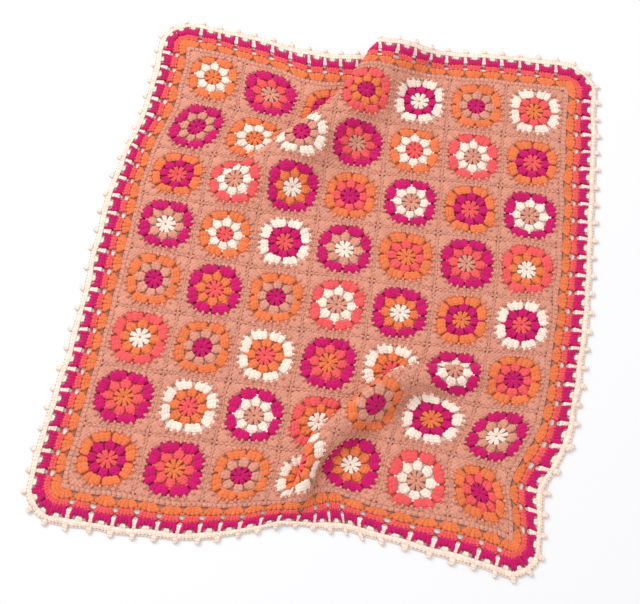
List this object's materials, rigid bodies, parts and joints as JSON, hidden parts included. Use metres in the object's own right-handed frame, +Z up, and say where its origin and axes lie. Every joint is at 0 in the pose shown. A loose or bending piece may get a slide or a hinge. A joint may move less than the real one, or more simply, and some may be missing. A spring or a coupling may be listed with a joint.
{
  "type": "granny square blanket",
  "caption": "Crocheted baby blanket of joined granny squares with a shell border and picot edging, lying loose on a surface with two soft diagonal folds.",
  "frame": {"origin": "on the surface that the blanket lies on, under the middle of its box", "axes": "+Z up from that surface, +Y along the blanket's long sides towards its top edge in the picture, +X to the right"},
  "size_m": [0.7598, 0.8306, 0.033],
  "materials": {
    "beige_yarn": "matte plied yarn, beige",
    "coral_yarn": "matte plied yarn, coral red",
    "cream_yarn": "matte plied yarn, cream",
    "magenta_yarn": "matte plied yarn, magenta",
    "orange_yarn": "matte plied yarn, orange"
  },
  "bodies": {
    "root": {"joined_squares": "beige_yarn", "shell_border": "coral_yarn", "picot_edging": "cream_yarn"}
  },
  "joints": []
}
